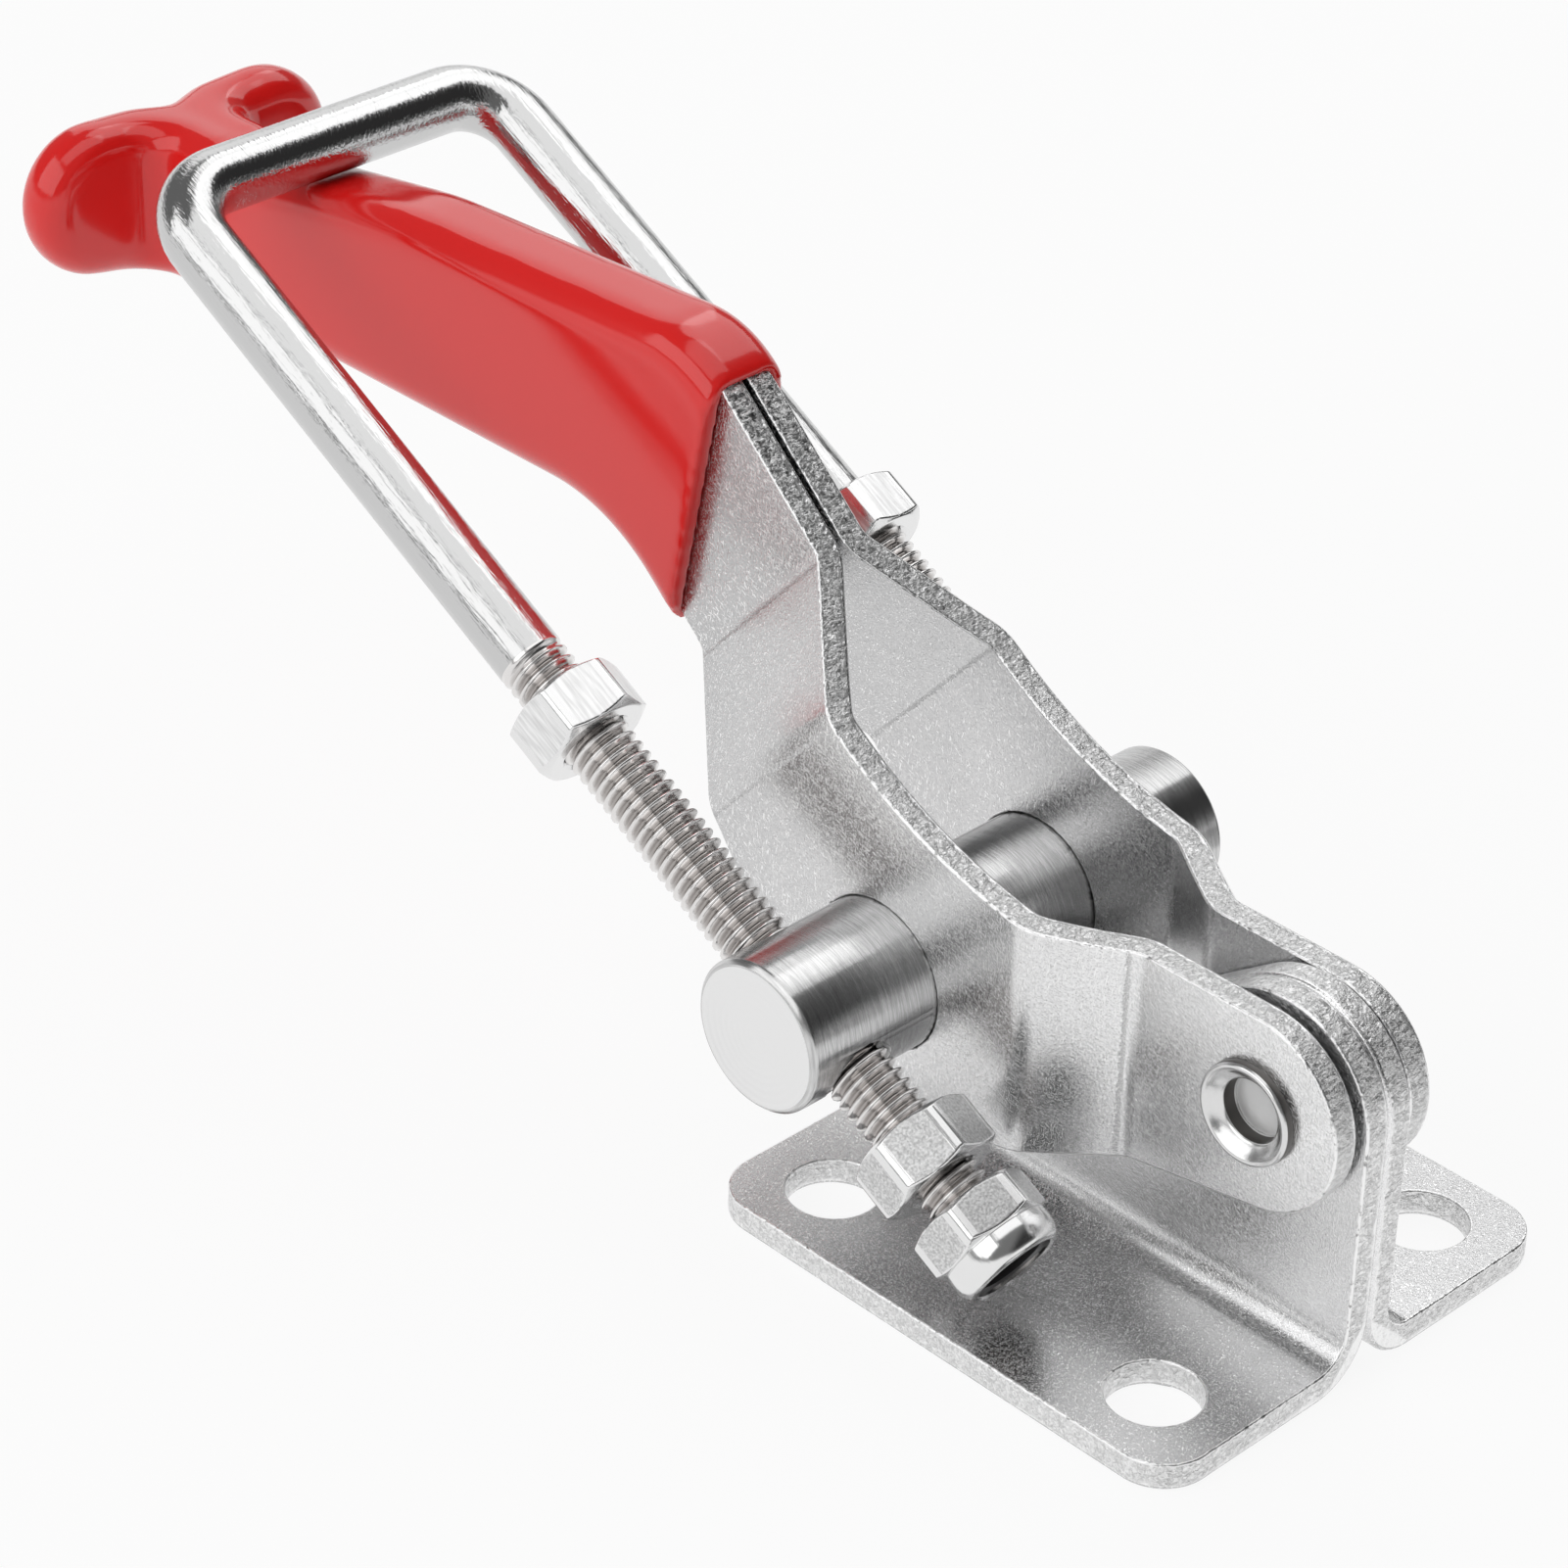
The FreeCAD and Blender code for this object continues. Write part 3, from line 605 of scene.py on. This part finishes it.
# %% Threaded and bent rod
rows_per_turn, leg_step, rows_per_bend, bar_step = 12, 2.2, 14, 2.4
rod_rows = []
along = 0.0
while along < rod_length / 2:
    rod_rows.append(along)
    high = leg_foot + along
    if high < thread_top + 0.2:
        along += thread_pitch / rows_per_turn
    elif along < straight - 0.5:
        along += leg_step
    elif along < straight + quarter:
        along += quarter / rows_per_bend
    else:
        along += bar_step
rod_rows = rod_rows + [rod_length - along for along in rod_rows[::-1]]
rod_columns = 40
rod_chamfer = 0.8


def rod_point(row, column):
    """A point of the rod's surface."""
    along = rod_rows[row]
    centre, sideways = bent(along)
    angle = math.tau * column / rod_columns
    from_end = min(along, rod_length - along)
    hand = angle if along < rod_length / 2 else -angle
    radius = thread_radius(leg_foot + from_end, hand)
    radius = min(radius, rod_radius - rod_chamfer + from_end)
    return centre + (sideways * math.cos(angle) + rod_side * math.sin(angle)) * radius


u_bolt = rolled_tube("u_bolt_rod", len(rod_rows) - 1, rod_columns, rod_point)
pick(u_bolt)
bpy.ops.object.mode_set(mode="EDIT")
bpy.ops.mesh.select_all(action="SELECT")
bpy.ops.mesh.remove_doubles(threshold=weld)
bpy.ops.mesh.select_all(action="DESELECT")
bpy.ops.mesh.select_mode(type="EDGE")
bpy.ops.mesh.select_non_manifold()
bpy.ops.mesh.edge_face_add()
bpy.ops.object.mode_set(mode="OBJECT")
finish_mesh(u_bolt, 50.0)

# %% [markdown]
# The rod is bright drawn bar, polished along its length: it mirrors the studio in long white
# bands whose borders are frayed by fine lines along the bar. The rolled thread is duller. It is
# painted paler on its crests and darker and brownish in its roots, as painted highlight and
# painted shade, so the mesh carries how deep in the thread each point lies as an attribute.

# %% Polished rod and rolled thread


def lines_along_rod(tree, spot):
    """Fine lines along the rod, a third of a millimetre apart and twelve times as long."""
    drawn = add_node(tree, "ShaderNodeMapping", {"Vector": spot, "Scale": (12.0, 1.0, 1.0),
                                                 "Rotation": (0.0, rod_lean, 0.0)},
                     vector_type="TEXTURE")
    lines = add_node(tree, "ShaderNodeTexNoise", {"Vector": drawn.outputs[0], "Scale": per_mm(0.35),
                                                  "Detail": 3.0})
    return lines.outputs[0]


def drawn_steel(name, colour, roughness, depth):
    """Steel with fine lines along the rod, of a depth in millimetres."""
    finish, tree, shader = new_finish(name, colour, 1.0, roughness)
    spot = add_node(tree, "ShaderNodeTexCoord").outputs["Object"]
    lines = lines_along_rod(tree, spot)
    bump = add_node(tree, "ShaderNodeBump", {"Height": lines, "Strength": 0.6,
                                             "Distance": depth * mm})
    tree.links.new(bump.outputs[0], shader.inputs["Normal"])
    return finish


def root_depth(place):
    """How deep a point lies in the thread: 0 on a crest, 1 in a root."""
    offset = place / mm - pin_axis
    offset -= rod_up * offset.dot(rod_up)
    offset.y = abs(offset.y) - leg_place
    return (rod_radius - offset.length) / thread_depth


roots = u_bolt.data.attributes.new("root", "FLOAT", "POINT")
for point in u_bolt.data.vertices:
    roots.data[point.index].value = root_depth(point.co)
rod_finish = drawn_steel("stainless_rod_polished", "#CACACA", 0.1, 0.12)
thread_finish = drawn_steel("stainless_thread_rolled", "#D9D7D6", 0.17, 0.02)
tree = thread_finish.node_tree
root = add_node(tree, "ShaderNodeAttribute", attribute_name="root")
# Painted light and shade: pale on the crests, darker and brownish in the roots.
painted_root_shade = add_node(tree, "ShaderNodeMapRange", {"Value": root.outputs["Fac"], "From Min": 0.4,
                                              "From Max": 1.0})
tint = add_node(tree, "ShaderNodeMix", {"Factor": painted_root_shade.outputs[0], 6: linear("#E4E2E1"),
                                        7: linear("#A7A29F")}, data_type="RGBA")
tree.links.new(tint.outputs[2], tree.nodes["Principled BSDF"].inputs["Base Color"])
u_bolt.data.materials.append(rod_finish)
u_bolt.data.materials.append(thread_finish)
for face in u_bolt.data.polygons:
    high = (face.center / mm - pin_axis).dot(rod_up)
    face.material_index = 1 if high < thread_top else 0
fit(u_bolt, "hook", "u_bolt")

# %% [markdown]
# A hexagon nut is turned and milled bar: flats cut the round blank, and a chamfer at each end
# cuts the corners back. A closed profile is spun round the axis, and the hexagon then limits
# every point. Taking a soft minimum of the two rounds each edge a little, as tumbling does. The
# blank's profile stands beyond the corners, so that the hexagon alone limits them.

# %% Nuts
nut_flat = 6.5
nut_height = 6.75
hex_height = 5.2
nut_steps = 20
corner_blend, rim_blend = 0.7, 0.12
profile_step = 0.22


def soft_least(a, b, blend):
    """The smaller of two numbers, rounded where they meet."""
    mix = min(max(0.5 + 0.5 * (b - a) / blend, 0.0), 1.0)
    return b + (a - b) * mix - blend * mix * (1.0 - mix)


def hexagon_reach(angle):
    """Distance from the axis to a rounded hexagon, with its corners at 0, 60 ... degrees."""
    within = angle % (math.pi / 3) - math.pi / 6
    near = nut_flat / math.cos(within)
    spare = nut_flat / math.cos(math.pi / 3 - abs(within))
    return soft_least(near, spare, corner_blend)


def nut_angles():
    """Angles round a nut, close together at its corners."""
    angles = []
    for sector in range(6):
        for step in range(nut_steps):
            t = step / nut_steps
            eased = t - math.sin(math.tau * t) / math.tau * 0.75
            angles.append(math.pi / 3 * (sector + eased))
    return angles


def smooth_profile(corners, spacing):
    """Points along a closed profile, no further apart than a spacing."""
    points = []
    for here, there in zip(corners, corners[1:] + corners[:1]):
        steps = max(1, round(math.dist(here, there) / spacing))
        for step in range(steps):
            t = step / steps
            points.append((here[0] + (there[0] - here[0]) * t, here[1] + (there[1] - here[1]) * t))
    return points


def make_nut(name, profile, flat_end):
    """A nut with its upper face at the origin, its axis down -Z and flats to a depth."""
    angles = nut_angles()

    def nut_point(row, column):
        reach, down = profile[row % len(profile)]
        angle = angles[column]
        reach = soft_least(hexagon_reach(angle), reach, rim_blend)
        return Vector((reach * math.cos(angle), reach * math.sin(angle), -down))

    nut = rolled_tube(name, len(profile), len(angles), nut_point)
    finish_mesh(nut, 40.0)
    for facet in nut.data.polygons:
        middle = facet.center / mm
        off_flat = abs(math.atan2(middle.y, middle.x) % (math.pi / 3) - math.pi / 6)
        outward = math.hypot(facet.normal.x, facet.normal.y) > 0.97
        on_flat = off_flat < math.radians(23) and nut_flat * 0.98 < math.hypot(middle.x, middle.y)
        facet.material_index = 0 if on_flat and outward and middle.z > -flat_end else 1
    return nut


bore, sink_depth, sink_width = 4.0, 0.45, 0.5
end_reach = 0.95 * nut_flat
corner_reach = 2 * nut_flat / math.sqrt(3)
beyond = 0.2
slope = math.tan(math.radians(30))
bevel_drop = (corner_reach - end_reach) * slope
blank = [(bore, sink_depth), (bore + sink_width, 0.0), (end_reach, 0.0),
         (corner_reach + beyond, bevel_drop + beyond * slope),
         (corner_reach + beyond, nut_height - bevel_drop - beyond * slope),
         (end_reach, nut_height), (bore + sink_width, nut_height), (bore, nut_height - sink_depth)]
hex_nut = make_nut("hexagon_nut", smooth_profile(blank, profile_step), nut_height)

lock_height, collar, mouth = 8.7, 6.45, 4.8
ring_seat, ring_foot, ring_top = 5.2, 5.9, 7.9
dome_steps, dome_reach, dome_rise = 12, collar - mouth - 0.25, 2.5
dome = []
for step in range(dome_steps + 1):
    turn = math.pi / 2 * step / dome_steps
    dome.append((collar - dome_reach + dome_reach * math.cos(turn),
                 lock_height - dome_rise + dome_rise * math.sin(turn)))
lock_blank = [(bore, sink_depth), (bore + sink_width, 0.0), (end_reach, 0.0),
              (corner_reach + beyond, bevel_drop + beyond * slope),
              (corner_reach + beyond, hex_height - bevel_drop - beyond * slope),
              (end_reach + 0.1, hex_height - 0.05), (collar - 0.05, hex_height + 0.05)] + dome
lock_blank += [(mouth, lock_height - 0.25), (mouth, ring_top), (ring_seat, ring_top),
               (ring_seat, ring_foot), (bore, ring_foot)]
lock_nut = make_nut("lock_nut", smooth_profile(lock_blank, profile_step), hex_height)
print("nuts:", len(hex_nut.data.polygons), "and", len(lock_nut.data.polygons), "faces")

# %% [markdown]
# Each nut has its own height on the rod and its own turn, as read from the photograph. The
# model of a nut is copied, and the copy's points are carried to the leg, so that the finished
# object still sits at the origin. The upper nuts' flats are brushed along the rod, and the lower
# ones' were frosted by the stones and are painted a darker grey, as painted reflection. The
# turned corners and collars of both are bright.

# %% Set the nuts on the legs


def nut_steel(name, frosted, dark, pale):
    """Steel of a nut's flats: lines along the axis, or a frosty grain where stones hit hard."""
    finish, tree, shader = new_finish(name, pale, 1.0, 0.28)
    spot = add_node(tree, "ShaderNodeTexCoord").outputs["Object"]
    frost = add_node(tree, "ShaderNodeTexNoise", {"Vector": spot, "Scale": per_mm(0.3),
                                                  "Detail": 3.0})
    grain = add_node(tree, "ShaderNodeMix", {"Factor": frosted, 2: lines_along_rod(tree, spot),
                                             3: frost.outputs[0]})
    bump = add_node(tree, "ShaderNodeBump", {"Height": grain.outputs[0], "Strength": 0.6,
                                             "Distance": 0.03 * mm})
    tree.links.new(bump.outputs[0], shader.inputs["Normal"])
    pits = add_node(tree, "ShaderNodeMapRange", {"Value": grain.outputs[0], "From Min": 0.35,
                                                 "From Max": 0.65})
    tint = add_node(tree, "ShaderNodeMix", {"Factor": pits.outputs[0], 6: linear(dark),
                                            7: linear(pale)}, data_type="RGBA")
    tree.links.new(tint.outputs[2], shader.inputs["Base Color"])
    return finish


upper_flats = nut_steel("stainless_nut_brushed", 0.0, "#D8D8D8", "#F4F4F4")
# The lower flats' darker greys are painted reflection, laid over their frosty grain.
lower_flats_shaded = nut_steel("stainless_nut_frosted_shaded", 1.0, "#B4B4B4", "#E2E2E2")
nut_round = drawn_steel("stainless_nut_turned", "#E8E8E8", 0.16, 0.02)


def set_on_leg(model, name, node, side, place, turn, flats, slot):
    """Carries a copy of a nut to a leg of the U-bolt."""
    piece = bpy.data.objects.new(name, model.data.copy())
    bpy.context.scene.collection.objects.link(piece)
    centre = pin_axis + rod_up * place + Vector((0.0, side * leg_place, 0.0))
    start = math.radians(turn)
    first = Vector((0.0, 1.0, 0.0)) * math.cos(start) + rod_side * math.sin(start)
    second = rod_up.cross(first)
    for point in piece.data.vertices:
        local = point.co / mm
        point.co = (centre + first * local.x + second * local.y + rod_up * local.z) * mm
    piece.data.materials.append(flats)
    piece.data.materials.append(nut_round)
    fit(piece, "hook", node)


nut_places = {"left": (51.6, -17.1, -27.2), "right": (45.1, -17.1, -27.2)}
nut_turns = {"left": (51, 24, 7), "right": (16, 36, 20)}
for side, sign in (("left", 1), ("right", -1)):
    upper, lower, lock = zip(nut_places[side], nut_turns[side])
    set_on_leg(hex_nut, "nut_upper_" + side, "upper_nut_" + side, sign, *upper,
               upper_flats, "nut_steel")
    set_on_leg(hex_nut, "nut_lower_" + side, "lower_nut_" + side, sign, *lower,
               lower_flats_shaded, "nut_steel")
    set_on_leg(lock_nut, "nut_lock_" + side, "lock_nut_" + side, sign, *lock,
               lower_flats_shaded, "lock_nut_steel")
for model in (hex_nut, lock_nut):
    bpy.data.objects.remove(model)

# %% [markdown]
# The cross pin is cut from bright bar on a lathe. Its side is brushed round and round: the
# lines run across the bar, so they draw every reflection out along it. Its sawn ends are faced,
# pale and matt, with the tool's rings just to be seen.

# %% Cross pin
pin_radius = 9.0
pin_rim = 0.16 * mm
pin = copy_of("trunnion_pin", "cross_pin_bar")
pin_side, tree, shader = new_finish("stainless_bar_brushed_round", "#CDCDCD", 1.0, 0.25)
shader.inputs["Anisotropic"].default_value = 0.8
shader.inputs["Anisotropic Rotation"].default_value = 0.25
round_pin = add_node(tree, "ShaderNodeTangent", direction_type="RADIAL", axis="Y")
tree.links.new(round_pin.outputs[0], shader.inputs["Tangent"])
spot = add_node(tree, "ShaderNodeTexCoord").outputs["Object"]
drawn = add_node(tree, "ShaderNodeMapping", {"Vector": spot, "Scale": (0.06, 1.0, 0.06)})
rings = add_node(tree, "ShaderNodeTexNoise", {"Vector": drawn.outputs[0], "Scale": per_mm(0.2),
                                              "Detail": 4.0})
bump = add_node(tree, "ShaderNodeBump", {"Height": rings.outputs[0], "Strength": 0.5,
                                         "Distance": 0.025 * mm})
tree.links.new(bump.outputs[0], shader.inputs["Normal"])
shine = add_node(tree, "ShaderNodeMapRange", {"Value": rings.outputs[0], "From Min": 0.35,
                                              "From Max": 0.65})
tint = add_node(tree, "ShaderNodeMix", {"Factor": shine.outputs[0], 6: linear("#BEBEBE"),
                                        7: linear("#D8D8D8")}, data_type="RGBA")
tree.links.new(tint.outputs[2], shader.inputs["Base Color"])
pin_end, tree, shader = new_finish("stainless_bar_faced", "#EDEDED", 1.0, 0.4)
spot = add_node(tree, "ShaderNodeTexCoord").outputs["Object"]
centred = add_node(tree, "ShaderNodeVectorMath", {0: spot, 1: pin_axis * mm}, operation="SUBTRACT")
turned = add_node(tree, "ShaderNodeTexWave", {"Vector": centred.outputs[0], "Scale": per_mm(3.0),
                                              "Distortion": 1.5, "Detail": 2.0},
                  wave_type="RINGS", rings_direction="Y")
bump = add_node(tree, "ShaderNodeBump", {"Height": turned.outputs[0], "Strength": 0.5,
                                         "Distance": 0.05 * mm})
tree.links.new(bump.outputs[0], shader.inputs["Normal"])
pin.data.materials.append(pin_side)
pin.data.materials.append(pin_end)


def pin_kind(face):
    """Tells the pin's flat ends, chamfers and side apart."""
    if abs(face.normal.y) > 0.99:
        return "end"
    if abs(face.normal.y) > 0.6:
        return "chamfer"
    offset = face.center / mm - pin_axis
    inside = math.hypot(offset.x, offset.z) < pin_radius - 0.4
    return "hole" if inside else "side"


bevel_between(pin, pin_kind, pin_rim, 2, 0)
for face in pin.data.polygons:
    face.material_index = 1 if abs(face.normal.y) > 0.99 else 0
bpy.ops.object.shade_smooth_by_angle(angle=math.radians(35))
fit(pin, "cross_pin", "trunnion_pin")

# %% [markdown]
# The rivet is a pin whose drilled ends were flared over the plates. A closed profile is rolled
# round the pin's axis: matt floor of the drilled hole, its wall, the bright cone that the punch
# pressed out, a narrow crest, and the shank between the two heads. The steep walls, in the hole
# and round the outside of the rim, are painted dark grey as painted shade.

# %% Rivet
rivet_axis = Vector((21.8, 0.0, 31.5))
plate_face = 7.6
floor_reach = 3.5
rim_profile = [(0.0, -2.0), (3.25, -2.0), (floor_reach, -1.93), (3.62, -1.7), (3.66, -0.15),
               (3.78, 0.05), (3.98, 0.16), (4.45, 0.46), (4.85, 0.84), (5.1, 1.12), (5.28, 1.26),
               (5.48, 1.33), (5.66, 1.3), (5.82, 1.16), (5.92, 0.95), (5.95, 0.7), (5.95, 0.3),
               (5.88, 0.02), (4.74, 0.02)]
rivet_rows = rim_profile + [(reach, -2 * plate_face - rise) for reach, rise in rim_profile[::-1]]
rivet_columns = 72


def rivet_point(row, column):
    """A point of the rivet, turned about its axis."""
    reach, rise = rivet_rows[row]
    angle = math.tau * column / rivet_columns
    reach = max(reach, 0.0005)
    offset = Vector((reach * math.cos(angle), plate_face + rise, reach * math.sin(angle)))
    return rivet_axis + offset


rivet = rolled_tube("rivet_flared", len(rivet_rows) - 1, rivet_columns, rivet_point)
finish_mesh(rivet, 40.0)
rivet_finish, tree, shader = new_finish("stainless_rivet_upset", "#E0E0E0", 1.0, 0.24)
dented(tree, shader, 0.5, 3.0, 0.4, 0.03)
drilled_finish, tree, shader = new_finish("stainless_drilled_matt", "#E2E2E2", 1.0, 0.5)
dented(tree, shader, 0.7, 3.0, 0.5, 0.06)
# Painted shade: a dark grey for the steep walls in the hole and round the rim.
painted_shade_wall, tree, shader = new_finish("stainless_wall_painted_shade", "#6B6967", 1.0, 0.38)
dented(tree, shader, 0.7, 3.0, 0.3, 0.04)
for finish in (rivet_finish, drilled_finish, painted_shade_wall):
    rivet.data.materials.append(finish)
for face in rivet.data.polygons:
    offset = face.center / mm - rivet_axis
    out = math.hypot(offset.x, offset.z)
    # The steep faces get the painted shade.
    if abs(face.normal.y) < 0.35:
        face.material_index = 2
    else:
        face.material_index = 1 if out < floor_reach else 0
fit(rivet, "handle", "pivot_rivet")

# %% [markdown]
# The rings in the lock nuts keep their CAD shape and only get a finish: moulded nylon painted
# near black, as painted shade deep in the nuts.

# %% Rings in the lock nuts
# Painted shade: the ring's grey is near black.
ring_finish, tree, shader = new_finish("nylon_ring_moulded", "#262626", 0.0, 0.45)
dented(tree, shader, 0.5, 2.0, 0.2, 0.03)
for side in ("left", "right"):
    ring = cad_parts["lock_nut_insert_" + side]
    ring.data.materials.clear()
    ring.data.materials.append(ring_finish)

# %% [markdown]
# The grip is PVC that the warm handle was dipped in. It flows round the plates, thick on their
# faces and thin over their edges, and sets with a wet gloss. The CAD skin has the form; here
# it is turned into an even mesh of small faces and relaxed, so that highlights run smoothly.

# %% Dipped grip
grip = copy_of("handle_grip", "dipped_grip")
pick(grip)
even = grip.modifiers.new("even_mesh", "REMESH")
even.mode = "VOXEL"
even.voxel_size = 0.55 * mm
even.use_smooth_shade = True
bpy.ops.object.modifier_apply(modifier=even.name)
relaxed = grip.modifiers.new("relaxed", "SMOOTH")
relaxed.factor = 0.5
relaxed.iterations = 12
bpy.ops.object.modifier_apply(modifier=relaxed.name)
bpy.ops.object.shade_smooth()
grip_finish, tree, shader = new_finish("pvc_dipped_glossy", "#EA201E", 0.0, 0.14)
shader.inputs["IOR"].default_value = 1.53
shader.inputs["Coat Weight"].default_value = 0.25
shader.inputs["Coat Roughness"].default_value = 0.06
dented(tree, shader, 6.0, 2.0, 0.2, 0.1)
grip.data.materials.clear()
grip.data.materials.append(grip_finish)
fit(grip, "handle", "handle_grip")

# %% [markdown]
# The render shows the colours through the standard view transform.

# %% Finish
bpy.context.scene.view_settings.view_transform = "Standard"
